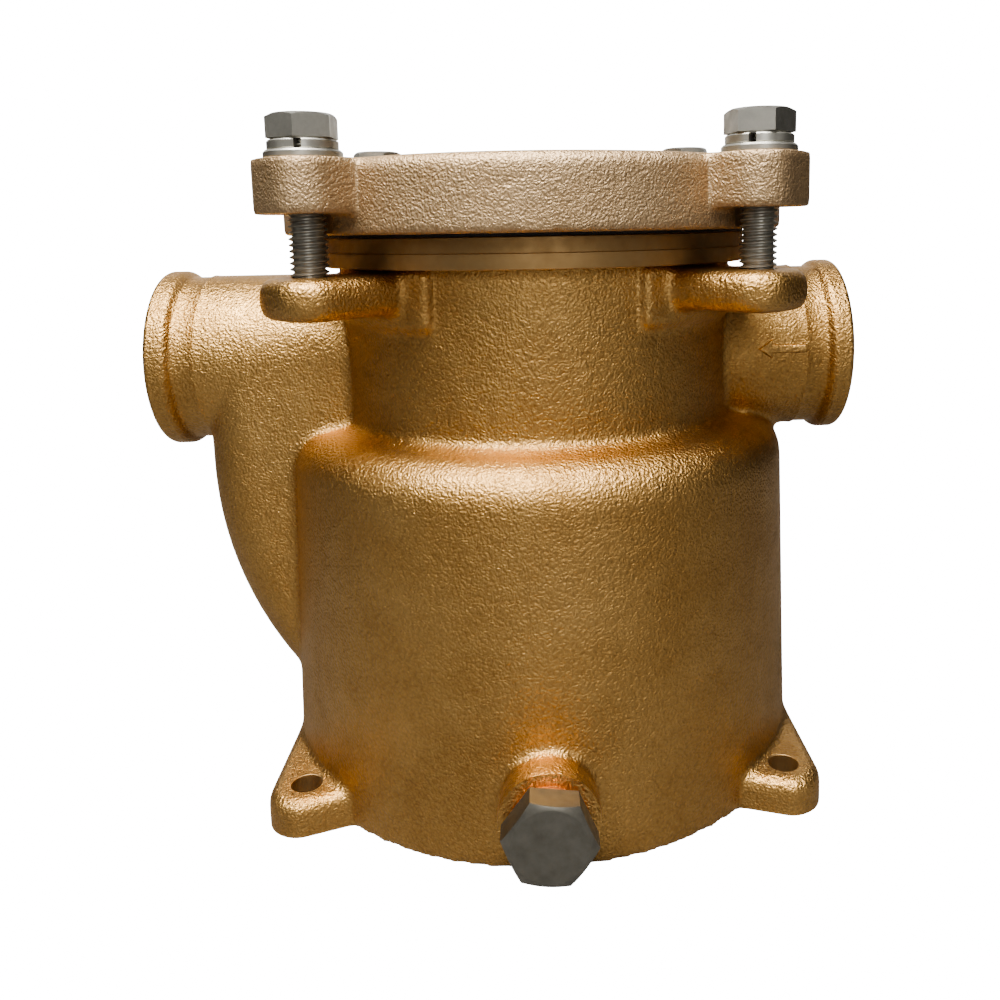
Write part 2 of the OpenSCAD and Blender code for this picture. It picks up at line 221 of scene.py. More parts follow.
def makeCastGroup():
    # leathery sand-cast grain, pits, slow colour drift, and a painted highlight that lightens raised
    # edges
    group, start, end = newGroup(
        "castGrainAndEdgeHighlight",
        [("Scale", "NodeSocketFloat", 900.0), ("Pits", "NodeSocketFloat", 0.3),
         ("Light", "NodeSocketColor", (0.8, 0.5, 0.2, 1)),
         ("Dark", "NodeSocketColor", (0.4, 0.2, 0.1, 1))],
        [("Color", "NodeSocketColor"), ("Height", "NodeSocketFloat"), ("Roughness", "NodeSocketFloat")])
    place = node(group, "ShaderNodeTexCoord").outputs["Object"]
    warp = node(group, "ShaderNodeTexNoise", {"Vector": place, "Scale": 420.0, "Detail": 2.0})
    bent = node(group, "ShaderNodeVectorMath", {0: warp.outputs["Color"], 1: (0.0011, 0.0011, 0.0011)},
                operation="MULTIPLY").outputs[0]
    moved = node(group, "ShaderNodeVectorMath", {0: place, 1: bent}, operation="ADD").outputs[0]
    cells = node(group, "ShaderNodeTexVoronoi",
                 {"Vector": moved, "Scale": start.outputs["Scale"], "Smoothness": 0.55},
                 feature="SMOOTH_F1")
    grain = node(group, "ShaderNodeTexNoise",
                 {"Vector": moved, "Scale": calc(group, "MULTIPLY", start.outputs["Scale"], 1.25),
                  "Detail": 3.0, "Roughness": 0.55})
    swell = node(group, "ShaderNodeTexNoise", {"Vector": place, "Scale": 95.0, "Detail": 3.0})
    pitField = node(group, "ShaderNodeTexVoronoi", {"Vector": place, "Scale": 170.0})
    pit = ramp(group, pitField.outputs["Distance"], 0.05, 0.16, -1.0, 0.0)
    chance = ramp(group, node(group, "ShaderNodeTexNoise", {"Vector": place, "Scale": 60.0}).outputs[0],
                  0.55, 0.65)
    pits = calc(group, "MULTIPLY", calc(group, "MULTIPLY", pit, chance), start.outputs["Pits"])
    bumps = calc(group, "MULTIPLY", cells.outputs["Distance"], -0.75)
    bumps = calc(group, "ADD", bumps, grain.outputs[0])
    bumps = calc(group, "ADD", bumps, calc(group, "MULTIPLY", swell.outputs[0], 1.2))
    height = calc(group, "ADD", bumps, pits)
    drift = node(group, "ShaderNodeTexNoise", {"Vector": place, "Scale": 28.0, "Detail": 5.0})
    mask = ramp(group, calc(group, "ADD", calc(group, "MULTIPLY", bumps, 0.45),
                            calc(group, "MULTIPLY", drift.outputs[0], 0.75)), 0.3, 1.05)
    color = blend(group, mask, start.outputs["Dark"], start.outputs["Light"])
    # painted highlight: raised, pointy edges are blended up to half way towards the light colour
    edge = ramp(group, node(group, "ShaderNodeNewGeometry").outputs["Pointiness"], 0.5, 0.56)
    color = blend(group, calc(group, "MULTIPLY", edge, 0.5), color, start.outputs["Light"])
    group.links.new(color, end.inputs["Color"])
    group.links.new(height, end.inputs["Height"])
    group.links.new(ramp(group, mask, 0.0, 1.0, 0.12, -0.08), end.inputs["Roughness"])
    return group


def makeTurnedGroup():
    # fine tool marks and handling scratches on machined or rolled metal
    group, start, end = newGroup(
        "turnedMetal",
        [("Stretch", "NodeSocketVector", (60.0, 60.0, 5200.0)), ("Stain", "NodeSocketFloat", 0.5),
         ("Light", "NodeSocketColor", (0.7, 0.7, 0.7, 1)),
         ("Dark", "NodeSocketColor", (0.3, 0.3, 0.3, 1))],
        [("Color", "NodeSocketColor"), ("Height", "NodeSocketFloat"), ("Roughness", "NodeSocketFloat")])
    place = node(group, "ShaderNodeTexCoord").outputs["Object"]
    drawn = node(group, "ShaderNodeVectorMath", {0: place, 1: start.outputs["Stretch"]},
                 operation="MULTIPLY").outputs[0]
    marks = node(group, "ShaderNodeTexNoise", {"Vector": drawn, "Scale": 1.0, "Detail": 3.0})
    cloud = node(group, "ShaderNodeTexNoise", {"Vector": place, "Scale": 260.0, "Detail": 4.0})
    speck = node(group, "ShaderNodeTexNoise", {"Vector": place, "Scale": 1500.0, "Detail": 2.0})
    stain = calc(group, "MULTIPLY", ramp(group, cloud.outputs[0], 0.35, 0.7), start.outputs["Stain"])
    color = blend(group, stain, start.outputs["Light"], start.outputs["Dark"])
    group.links.new(color, end.inputs["Color"])
    group.links.new(calc(group, "ADD", marks.outputs[0], calc(group, "MULTIPLY", speck.outputs[0], 0.4)),
                    end.inputs["Height"])
    group.links.new(ramp(group, cloud.outputs[0], 0.3, 0.7, -0.06, 0.1), end.inputs["Roughness"])
    return group


castGroup = makeCastGroup()
turnedGroup = makeTurnedGroup()


def metal(name, group, groupValues, roughness, bump, distance, metallic=1.0):
    material = bpy.data.materials.new(name)
    material.use_nodes = True
    tree = material.node_tree
    shader = tree.nodes["Principled BSDF"]
    effect = node(tree, "ShaderNodeGroup", node_tree=group)
    for key, value in groupValues.items():
        effect.inputs[key].default_value = value
    tree.links.new(effect.outputs["Color"], shader.inputs["Base Color"])
    tree.links.new(calc(tree, "ADD", effect.outputs["Roughness"], roughness), shader.inputs["Roughness"])
    relief = node(tree, "ShaderNodeBump", {"Height": effect.outputs["Height"],
                                           "Strength": bump, "Distance": distance * mm})
    tree.links.new(relief.outputs[0], shader.inputs["Normal"])
    shader.inputs["Metallic"].default_value = metallic
    return material


finishes = {
    "castBronze": dict(light=(0.74, 0.455, 0.175, 1), dark=(0.40, 0.215, 0.07, 1), roughness=0.38),
    "coverBronze": dict(light=(0.70, 0.50, 0.30, 1), dark=(0.42, 0.28, 0.15, 1), roughness=0.50),
    "turnedBronze": dict(light=(0.52, 0.34, 0.16, 1), dark=(0.44, 0.28, 0.12, 1), roughness=0.50),
    "boltSteel": dict(light=(0.60, 0.58, 0.51, 1), dark=(0.34, 0.32, 0.28, 1), roughness=0.42),
    "plugSteel": dict(light=(0.30, 0.28, 0.235, 1), dark=(0.175, 0.16, 0.13, 1), roughness=0.40),
    "basketSteel": dict(light=(0.74, 0.74, 0.72, 1), dark=(0.52, 0.52, 0.50, 1), roughness=0.28),
    "copper": dict(light=(0.88, 0.46, 0.30, 1), dark=(0.62, 0.28, 0.16, 1), roughness=0.30),
}


def colors(name):
    return {"Light": finishes[name]["light"], "Dark": finishes[name]["dark"]}


castBronze = metal("castBronze", castGroup, {"Scale": 1500.0, "Pits": 0.5, **colors("castBronze")},
                   finishes["castBronze"]["roughness"], 0.8, 0.30)
coverBronze = metal("coverBronze", castGroup, {"Scale": 1700.0, "Pits": 0.8, **colors("coverBronze")},
                    finishes["coverBronze"]["roughness"], 0.8, 0.30)
turnedBronze = metal("turnedBronze", turnedGroup, {"Stain": 0.5, **colors("turnedBronze")},
                     finishes["turnedBronze"]["roughness"], 0.25, 0.02)
boltSteel = metal("boltSteel", turnedGroup, {"Stretch": (700.0, 700.0, 500.0), "Stain": 0.7,
                                             **colors("boltSteel")},
                  finishes["boltSteel"]["roughness"], 0.3, 0.03)
plugSteel = metal("plugSteel", turnedGroup, {"Stretch": (700.0, 700.0, 500.0), "Stain": 0.7,
                                             **colors("plugSteel")},
                  finishes["plugSteel"]["roughness"], 0.3, 0.03)
basketSteel = metal("basketSteel", turnedGroup, {"Stretch": (90.0, 90.0, 2500.0), "Stain": 0.4,
                                                 **colors("basketSteel")},
                    finishes["basketSteel"]["roughness"], 0.2, 0.02)
copper = metal("copper", turnedGroup, {"Stain": 0.5, **colors("copper")},
               finishes["copper"]["roughness"], 0.25, 0.02)
rubber = metal("rubber", turnedGroup, {"Stretch": (900.0, 900.0, 900.0), "Stain": 0.5,
                                       "Light": (0.03, 0.03, 0.032, 1), "Dark": (0.015, 0.015, 0.015, 1)},
               0.6, 0.3, 0.03, metallic=0.0)
print("materials made")


bodySize = dict(
    neck=50, neckBore=43.5, barrel=63.5, base=65.5, cavity=57.5, barrelHeight=77, shoulder=10,
    shoulderTop=88.5, floor=9, rimLow=126.3, rimTop=133.3, rim=54, rimStep=0.5, rimStart=46,
    seat=82, seatThick=4.5, seatBore=37,
    boltCircle=67, lugHalf=10.5, lugTip=9.5, lugCorner=8, lugLow=116.4, lugThick=9,
    padOut=2.2, padHalf=16, padDrop=3.5, lugHole=4.05,
    footX=56, footY=43, foot=8.5, footThick=8, footRoot=11, footHole=3.5,
    portZ=103, pipe=20.75, collar=22.25, collarLength=6, inlet=78.2, outlet=94.3,
    way=14, thread=16.75, threadLength=14, inletStart=10, mouthEdge=1.1, lead=1.2,
    passageOut=82.8, passageArc=90, passageZ=78, passageEdge=12, passageWall=5.5, passageHalf=15,
    passageLip=29, wayX=54,
    drainZ=16.2, drainBoss=10.5, drainReach=73, drainHole=5.05, drainStart=40,
    core=30, bossStart=50, spare=1.5, ground=4,
    lugSoft=3.2, footSoft=2.5, padSoft=1.5, stubSwell=0.3, voxel=1.0, rounds=7)


def tongueOutline(start, reach, half, corner):
    tip = around(reach - corner, half - corner, corner, 90, 0, 8)
    low = [(x, -y) for x, y in reversed(tip)]
    return [(start, half)] + tip + low + [(start, -half)]


def bodyProfile(s):
    shoulder = around(s["barrel"] - s["shoulder"], s["barrelHeight"], s["shoulder"], 0, 90, 10)
    return ([(0, 0), (s["base"], 0)] + shoulder
            + [(s["neck"], s["shoulderTop"]), (s["neck"], s["rimLow"] + 2), (0, s["rimLow"] + 2)])


def footOutline(s):
    rootX = s["footX"] - s["footRoot"]
    rootY = math.sqrt(s["base"] ** 2 - rootX ** 2)
    tip = around(s["footX"], s["footY"], s["foot"], 0, 90, 10)
    return [(0, 0), (s["footX"] + s["foot"], 0)] + tip + [(rootX, rootY)]


def passageSection(s, reach):
    half = s["pipe"] + s["stubSwell"]
    edge = s["passageEdge"]
    low = around(reach - edge, edge - half, edge, -90, 0, 8)
    high = [(x, -y) for x, y in reversed(low)]
    back = reach - s["barrel"]
    return [(back, -half)] + low + high + [(back, half)]


def passageShell(s):
    # straight below the port, then curved into the barrel's side
    section = passageSection(s, s["passageArc"])
    bm = bmesh.new()
    verts = [bm.verts.new((x * mm, 0, y * mm)) for x, y in section]
    edges = [bm.edges.new((a, b)) for a, b in zip(verts, verts[1:] + verts[:1])]
    raised = bmesh.ops.extrude_edge_only(bm, edges=edges)
    bmesh.ops.translate(bm, vec=(0, (s["passageZ"] - s["portZ"]) * mm, 0), verts=newVerts(raised))
    bmesh.ops.spin(bm, geom=verts + edges, axis=(0, 0, 1), cent=(0, 0, 0),
                   angle=math.radians(46), steps=16)
    bmesh.ops.holes_fill(bm, edges=[e for e in bm.edges if e.is_boundary])
    matrix = at(s["passageArc"] - s["passageOut"], 0, s["passageZ"]) @ turn(90, "X") @ turn(180)
    return closed(placed(bm, matrix))


def alongX(bm, direction=1, z=0):
    return placed(bm, at(0, 0, z) @ turn(90 * direction, "Y"))


def buildBlank(s):
    # core: where a boss or lug starts inside the wall; spare: what a machined face takes off
    parts = [lathe(bodyProfile(s))]
    core, spare = s["core"], s["spare"]
    for mx in (1, -1):
        for my in (1, -1):
            foot = prism(footOutline(s), -s["ground"], s["footThick"], soft=s["footSoft"])
            parts.append(placed(foot, Matrix.Diagonal((mx, my, 1, 1))))
    lugTop = s["lugLow"] + s["lugThick"]
    for angle in corners.values():
        lug = prism(tongueOutline(core, s["boltCircle"] + s["lugTip"], s["lugHalf"], s["lugCorner"]),
                    s["lugLow"], lugTop, soft=s["lugSoft"])
        reach, half = s["neck"] + s["padOut"], s["padHalf"]
        edge = math.degrees(math.asin(half / reach))
        outline = [(core, -half)] + around(0, 0, reach, -edge, edge, 8) + [(core, half)]
        pad = prism(outline, s["lugLow"] - s["padDrop"], s["rimLow"], soft=s["padSoft"])
        parts += [placed(lug, turn(angle)), placed(pad, turn(angle))]
    for reach, direction in ((s["inlet"], 1), (s["outlet"], -1)):
        start = reach - s["collarLength"]
        thick = s["pipe"] + s["stubSwell"]
        stub = lathe([(0, core), (thick, core), (thick, start - 5), (s["collar"] + 0.1, start - 3),
                      (s["collar"] + 0.1, reach + spare), (0, reach + spare)])
        parts.append(alongX(stub, direction, s["portZ"]))
    parts.append(passageShell(s))
    r, low, high = s["drainBoss"], s["bossStart"], s["drainReach"] + spare
    boss = lathe([(0, low), (r - 1.5, low), (r - 0.5, s["base"] + 0.5), (r + 0.3, s["base"] + 4),
                  (r + 0.1, high), (0, high)])
    parts.append(placed(boss, at(0, 0, s["drainZ"]) @ turn(90, "X")))
    return joined(parts)


def mouthCutter(s, reach):
    # faces the mouth flat and eases its outer edge
    r, edge = s["collar"], s["mouthEdge"]
    return lathe([(0, reach), (r - edge, reach), *around(r - edge, reach - edge, edge, 90, 0, 5)[1:],
                  (r + 5, reach - edge), (r + 5, reach + 6), (0, reach + 6)], 128)


def collarCutter(s, reach):
    # leaves the raised collar at the mouth standing on the plain pipe
    start = reach - s["collarLength"]
    r, outer = s["pipe"], s["collar"]
    return lathe([(r, start - 4.6), (r, start - 0.6), (r + 0.15, start - 0.1), (r + 0.6, start + 0.4),
                  (outer - 0.4, start + 0.8), (outer - 0.05, start + 1.4), (outer + 0.05, start + 2),
                  (outer + 4, start + 2), (outer + 4, start - 6.2),
                  (r + s["stubSwell"] + 0.4, start - 6.2)], 128)


def rimRing(s):
    # the turned ring of the neck, in two steps
    low, high, rim, inner = s["rimLow"], s["rimTop"], s["rim"], s["rimStart"]
    mid = (low + high) / 2
    land = rim - s["rimStep"]
    return lathe([(inner, low), (rim - 0.2, low), (rim, low + 0.2), (rim, mid - 0.15), (rim - 0.15, mid),
                  (land, mid), (land, high - 0.3), (land - 0.3, high), (inner, high)], 160, 1)


def hollowCutter(s):
    # the barrel's cavity, the basket's seat and the neck's bore
    low, cavity, seat, top = s["floor"], s["cavity"], s["seatBore"], s["rimTop"]
    seatLow = s["seat"] - s["seatThick"]
    bore, wide = s["neckBore"], s["neckBore"] + 0.8
    return lathe([(0, low), (cavity - 4, low), *around(cavity - 4, low + 4, 4, -90, 0, 5)[1:],
                  *around(cavity - 5, seatLow - 5, 5, 0, 90, 5), (seat, seatLow), (seat, s["seat"]),
                  (bore, s["seat"]), (bore, top - 0.6), (wide, top + 0.2), (wide, 150), (0, 150)], 128)


def footCutter(s):
    r, top = s["footHole"], s["footThick"]
    return lathe([(0, -5), (r + 0.6, -5), (r + 0.6, 0), (r, 0.6), (r, top - 0.1), (r + 0.2, top + 0.1),
                  (r + 0.2, 2 * top), (0, 2 * top)], 48, 1)


def portCutter(s, reach, start):
    # the water way, the threaded bore and its lead-in
    way, thread, lead = s["way"], s["thread"], s["lead"]
    end = reach - s["threadLength"]
    return lathe([(0, start), (way, start), (way, end - 1), (thread, end), (thread, reach - 1.0),
                  (thread + lead, reach + 0.2), (thread + lead, reach + 5), (0, reach + 5)], 96, 1)


def bodyCutters(s):
    cutters = [hollowCutter(s)]
    for angle in corners.values():
        hole = lathe([(0, 100), (s["lugHole"], 100), (s["lugHole"], 126), (0, 126)], 48, 1)
        cutters.append(placed(hole, turn(angle) @ at(s["boltCircle"])))
    for x in (-s["footX"], s["footX"]):
        for y in (-s["footY"], s["footY"]):
            cutters.append(placed(footCutter(s), at(x, y)))
    for reach, direction, start in ((s["inlet"], 1, s["inletStart"]), (s["outlet"], -1, s["wayX"])):
        for cutter in (portCutter(s, reach, start), mouthCutter(s, reach), collarCutter(s, reach)):
            cutters.append(alongX(cutter, direction, s["portZ"]))
    start, reach, hole = s["drainStart"], s["drainReach"], s["drainHole"]
    drain = lathe([(0, start), (hole, start), (hole, reach), (30, reach), (30, 90), (0, 90)], 64)
    cutters.append(placed(drain, at(0, 0, s["drainZ"]) @ turn(90, "X")))
    return cutters


def passageWay(s):
    # the water way from the barrel's side up to the outlet
    inner = s["passageArc"] - s["passageWall"]
    centre = s["passageArc"] - s["passageOut"]
    top = s["portZ"]
    lowAngle = math.degrees(math.asin((s["passageZ"] - s["passageLip"]) / inner))
    curve = [(centre + x, s["passageZ"] + y) for x, y in around(0, 0, inner, 180, 180 + lowAngle, 12)]
    outline = [(-s["wayX"], top), (centre - inner, top)] + curve + [(-s["wayX"], s["passageLip"])]
    bm = prism(outline, -s["passageHalf"], s["passageHalf"])
    return placed(bm, turn(90, "X"))


arrowSize = dict(tip=54.3, end=68.2, z=104.4, head=2.4, headLength=3.4, shaft=1.0, back=17, front=21.7,
                 soft=0.45)


def flowArrow(s):
    # raised on the inlet pipe, pointing along the flow
    neck = s["tip"] + s["headLength"]
    half = [(s["tip"], 0), (neck, s["head"]), (neck, s["shaft"]), (s["end"], s["shaft"])]
    outline = half + [(x, -y) for x, y in reversed(half[1:])]
    bm = prism(outline, s["back"], s["front"], soft=s["soft"])
    return placed(bm, at(0, 0, s["z"]) @ turn(90, "X"))


def buildBody(s):
    obj = asObject("bodyCasting", buildBlank(s), [castBronze, turnedBronze])
    cast(obj, s["voxel"], s["rounds"])
    for part in (rimRing(s), flowArrow(arrowSize)):
        combine(obj, part, "UNION")
    ground = prism([(-120, -120), (120, -120), (120, 120), (-120, 120)], -20, 0)
    combine(obj, ground, "DIFFERENCE")
    for cutter in bodyCutters(s) + [passageWay(s)]:
        combine(obj, cutter, "DIFFERENCE")
    return install(crisp(obj), "housing", "cast_bronze",
                   "barrel", "neck", "inlet_stub", "outlet_passage")


body = buildBody(bodySize)
print("body built", len(body.data.polygons))


def helix(profile, pitch, turns, steps=28):
    # one turn's open profile of (radius, height), wound upwards
    bm = bmesh.new()
    verts = [bm.verts.new((r * mm, 0, z * mm)) for r, z in profile]
    edges = [bm.edges.new((a, b)) for a, b in zip(verts, verts[1:])]
    count = int(round(steps * turns))
    bmesh.ops.spin(bm, geom=verts + edges, axis=(0, 0, 1), cent=(0, 0, 0),
                   dvec=(0, 0, pitch * mm / steps), angle=2 * math.pi * turns, steps=count)
    bmesh.ops.remove_doubles(bm, verts=bm.verts, dist=2e-6)
    return bm


def threadedShank(radius, pitch, length):
    # the thread ends at z = 0 under the head, and at -length
    depth = 0.61 * pitch
    flat = pitch / 8
    profile = [(radius - depth, 0), (radius - depth, flat * 1.6), (radius, pitch / 2 - flat * 0.2),
               (radius, pitch / 2 + flat * 1.2), (radius - depth, pitch)]
    turns = length / pitch + 1
    bm = helix(profile, pitch, turns)
    placed(bm, at(0, 0, -length - pitch))
    for height, normal in ((0, 1), (-length, -1)):
        geom = list(bm.verts) + list(bm.edges) + list(bm.faces)
        bmesh.ops.bisect_plane(bm, geom=geom, plane_co=(0, 0, height * mm), plane_no=(0, 0, normal),
                               clear_outer=True)
        edges = [e for e in bm.edges if e.is_boundary and abs(e.verts[0].co.z - height * mm) < 1e-6
                 and abs(e.verts[1].co.z - height * mm) < 1e-6]
        bmesh.ops.contextual_create(bm, geom=edges)
    bmesh.ops.recalc_face_normals(bm, faces=bm.faces)
    return bm


def hexHead(flats, height, chamfer=28):
    # a forged hexagon with its chamfered top and washer face, sitting on z = 0
    corner = flats / math.sqrt(3)
    bm = bmesh.new()
    bmesh.ops.create_circle(bm, cap_ends=True, segments=6, radius=corner * mm, matrix=turn(30))
    raised = bmesh.ops.extrude_face_region(bm, geom=list(bm.faces))
    bmesh.ops.translate(bm, vec=(0, 0, height * mm), verts=newVerts(raised))
    closed(bm)
    drop = (corner - flats / 2 * 0.94) * math.tan(math.radians(chamfer))
    cone = lathe([(0, -0.01), (flats / 2 * 0.95, -0.01), (flats / 2 * 0.95, 0.35), (corner + 1, 0.36),
                  (corner + 1, height - drop * (1 + 1 / (corner - flats / 2 * 0.94))),
                  (flats / 2 * 0.94, height - 0.02), (flats / 2 * 0.90, height), (0, height)], 96)
    head = asObject("head", bm, [])
    combine(head, cone, "INTERSECT")
    result = bmesh.new()
    result.from_mesh(head.data)
    bpy.data.objects.remove(head)
    return result


boltSize = dict(radius=4, pitch=1.25, flats=13, height=5.3,
                turns={"front_left": 29, "front_right": 41, "rear_right": 12, "rear_left": 53},
                slits={"front_left": 275, "front_right": 245, "rear_right": 100, "rear_left": 60})


def buildBolt(name, s):
    low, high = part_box("cover_bolt_" + name)
    headZ = high.z / mm - s["height"]
    length = headZ - low.z / mm
    angle = corners[name]
    place = turn(angle) @ at(bodySize["boltCircle"], 0, headZ) @ turn(s["turns"][name] - angle)
    head = hexHead(s["flats"], s["height"])
    shank = threadedShank(s["radius"], s["pitch"], length)
    obj = asObject("bolt_" + name, placed(joined([head, shank]), place), [boltSteel])
    return install(crisp(obj, 30), "bolt_" + name, "bolt_steel", "cover_bolt_" + name)


def buildWashers(name, s):
    flatLow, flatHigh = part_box("flat_washer_" + name)
    springLow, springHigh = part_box("spring_washer_" + name)
    angle = corners[name]
    centre = turn(angle) @ at(bodySize["boltCircle"])
    inner, thick = 4.2, (flatHigh.z - flatLow.z) / mm
    outer = (flatHigh.x - flatLow.x) / mm / 2
    flat = lathe([(inner, 0), (outer - 0.2, 0), (outer, 0.2), (outer, thick - 0.45),
                  (outer - 0.45, thick), (inner + 0.2, thick), (inner, thick - 0.2)], 72)
    flat = asObject("flatWasher_" + name, placed(flat, at(0, 0, flatLow.z / mm) @ centre), [boltSteel])
    install(crisp(flat), "washers_" + name, "bolt_steel", "flat_washer_" + name)
    depth = (springHigh.z - springLow.z) / mm
    ring, edge = 3.0, 0.3
    section = [(inner, edge), (inner + edge, 0), (inner + ring - edge, 0), (inner + ring, edge),
               (inner + ring, depth - edge), (inner + ring - edge, depth), (inner + edge, depth),
               (inner, depth - edge)]
    bm = bmesh.new()
    verts = [bm.verts.new((r * mm, 0, z * mm)) for r, z in section]
    face = bm.faces.new(verts)
    bmesh.ops.spin(bm, geom=[face], axis=(0, 0, 1), cent=(0, 0, 0), angle=math.radians(348), steps=64)
    closed(bm)
    start = s["slits"][name] + 6
    place = at(0, 0, springLow.z / mm) @ centre @ turn(start - angle)
    spring = asObject("springWasher_" + name, placed(bm, place), [boltSteel])
    return install(crisp(spring), "washers_" + name, "bolt_steel", "spring_washer_" + name)


for name in corners:
    buildBolt(name, boltSize)
    buildWashers(name, boltSize)
print("bolts and washers built")


coverSize = dict(radius=62.5, low=133.9, top=149.9, lugLow=138.4, lugTop=149.7, edge=2.6,
                 spigot=43.1, spigotWidth=5, spigotDepth=3.5, plate=7, groove=1.4, land=53.5,
                 hole=4.5, spot=8.6, voxel=0.8, rounds=7)


def buildCover(s):
    b = bodySize
    low, top = s["low"], s["top"]
    parts = [lathe([(0, low), (s["radius"], low)]
                   + around(s["radius"] - s["edge"], top - s["edge"], s["edge"], 0, 90, 6)
                   + [(0, top)], 128)]
    for angle in corners.values():
        lug = prism(tongueOutline(b["core"], b["boltCircle"] + b["lugTip"], b["lugHalf"], b["lugCorner"]),
                    s["lugLow"], s["lugTop"])
        parts.append(placed(lug, turn(angle)))
    obj = asObject("coverCasting", joined(parts), [coverBronze, turnedBronze])
    cast(obj, s["voxel"], s["rounds"])
    face = lathe([(0, low - 5), (90, low - 5), (90, low), (0, low)], 64, 1)
    combine(obj, face, "DIFFERENCE")
    outer, land, end = s["spigot"], s["land"], low - s["spigotDepth"]
    inner = outer - s["spigotWidth"]
    spigot = lathe([(inner - 3, low + 1), (inner, end), (outer - 0.4, end), (outer, end + 0.4),
                    (outer, low + 1)], 128, 1)
    combine(obj, spigot, "UNION")
    groove = lathe([(outer, low - 1), (land, low - 1), (land, low + s["groove"]),
                    (outer, low + s["groove"])], 128, 1)
    combine(obj, groove, "DIFFERENCE")
    roof = top - s["plate"]
    hollow = lathe([(0, low - 6), (inner, low - 6), (inner, low - 1),
                    *around(inner - 5, roof - 5, 5, 0, 90, 5), (0, roof)], 128)
    combine(obj, hollow, "DIFFERENCE")
    low, high, r, spot = s["lugLow"], s["lugTop"], s["hole"], s["spot"]
    for angle in corners.values():
        hole = lathe([(0, low - 4), (r + 0.5, low - 4), (r + 0.5, low), (r, low + 0.5), (r, high),
                      (spot, high), (spot, high + 5), (0, high + 5)], 64, 1)
        combine(obj, placed(hole, turn(angle) @ at(b["boltCircle"])), "DIFFERENCE")
    return install(crisp(obj), "cover_set", "cover_bronze", "cover")


buildCover(coverSize)


def ringPiece(name, nodeName, inner, material, bodyName, slotName, edge):
    # a plain ring with eased edges, as large as its CAD node
    low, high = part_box(nodeName)
    outer = (high.x - low.x) / mm / 2
    a, z = low.z / mm, high.z / mm
    profile = [(inner + edge, a), (outer - edge, a), (outer, a + edge), (outer, z - edge),
               (outer - edge, z), (inner + edge, z), (inner, z - edge), (inner, a + edge)]
    obj = asObject(name, lathe(profile, 128), [material])
    return install(crisp(obj), bodyName, slotName, nodeName)


ringPiece("coverGasket", "cover_gasket", 43.5, rubber, "cover_set", "rubber_seal", 0.15)
print("cover built")


basketSize = dict(radius=36, sheet=0.8, bottom=19, rimLow=83, rimTop=86, margin=3.5,
                  around=40, rows=17, hole=1.55, bottomPitch=5.4, wire=1.5, handle=37, bend=3.0,
                  pivot=88.6, earX=33.3, earThick=1.5, earHalf=4.0, earDown=8)


def perforatedWall(s):
    # one square cell with a round hole, repeated and wrapped into a tube
    low, high = s["bottom"] + s["margin"], s["rimLow"] - s["margin"]
    pitch = (high - low) / s["rows"]
    width = 2 * math.pi * s["radius"] / s["around"]
    bm = bmesh.new()
    bmesh.ops.create_circle(bm, segments=8, radius=s["hole"])
    rim = bmesh.ops.extrude_edge_only(bm, edges=list(bm.edges))
    for vert in newVerts(rim):
        x, y = (max(-1, min(1, c * 9 / s["hole"])) if abs(c) > 0.01 else 0 for c in vert.co.xy)
        vert.co = (x * width / 2, y * pitch / 2, 0)
    bmesh.ops.translate(bm, vec=(width / 2, low + pitch / 2, 0), verts=bm.verts)
    for count, step in ((s["rows"], (0, pitch, 0)), (s["around"], (width, 0, 0))):
        bmesh.ops.spin(bm, geom=list(bm.verts) + list(bm.edges) + list(bm.faces), axis=(0, 0, 1),
                       cent=(0, 0, 0), angle=0, dvec=step, steps=count - 1, use_duplicate=True)
    bmesh.ops.remove_doubles(bm, verts=bm.verts, dist=0.01)
    for end, limit in ((low, s["bottom"]), (high, s["rimTop"])):
        edge = [e for e in bm.edges if all(abs(v.co.y - end) < 0.01 for v in e.verts)]
        band = bmesh.ops.extrude_edge_only(bm, edges=edge)
        bmesh.ops.translate(bm, vec=(0, limit - end, 0), verts=newVerts(band))
    for vert in bm.verts:
        angle = vert.co.x / s["radius"]
        vert.co = Vector((s["radius"] * math.cos(angle), s["radius"] * math.sin(angle), vert.co.y)) * mm
    return closed(bm)


def sheetPiece(name, bm, s, bodyName, nodeName):
    obj = asObject(name, bm, [basketSteel])
    solid = obj.modifiers.new("sheet", "SOLIDIFY")
    solid.thickness = s["sheet"] * mm
    solid.offset = -1
    bake(obj)
    return install(crisp(obj, 40), bodyName, "basket_steel", nodeName)


sheetPiece("basketWall", perforatedWall(basketSize), basketSize, "basket", "basket_shell")


def perforatedPlate(s):
    radius = s["radius"] - s["sheet"] - 0.05
    bm = lathe([(0, s["bottom"]), (radius, s["bottom"]), (radius, s["bottom"] + s["sheet"]),
                (0, s["bottom"] + s["sheet"])], 128)
    obj = asObject("basketPlate", bm, [basketSteel])
    holes = []
    step = s["bottomPitch"]
    count = int(radius / step)
    for i in range(-count, count + 1):
        for j in range(-count - 1, count + 2):
            x, y = (i + j / 2) * step, j * step * math.sqrt(3) / 2
            if math.hypot(x, y) < radius - 3:
                hole = bmesh.new()
                bmesh.ops.create_cone(hole, cap_ends=True, segments=12, radius1=s["hole"] * mm,
                                      radius2=s["hole"] * mm, depth=4 * mm)
                holes.append(placed(hole, at(x, y, s["bottom"])))
    combine(obj, joined(holes), "DIFFERENCE")
    return install(crisp(obj), "basket", "basket_steel", "basket_bottom")


perforatedPlate(basketSize)
ringPiece("basketRim", "basket_rim", 36.05, basketSteel, "basket", "basket_steel", 0.4)
ringPiece("basketSeal", "basket_seal", 37, rubber, "basket", "rubber_seal", 0.2)


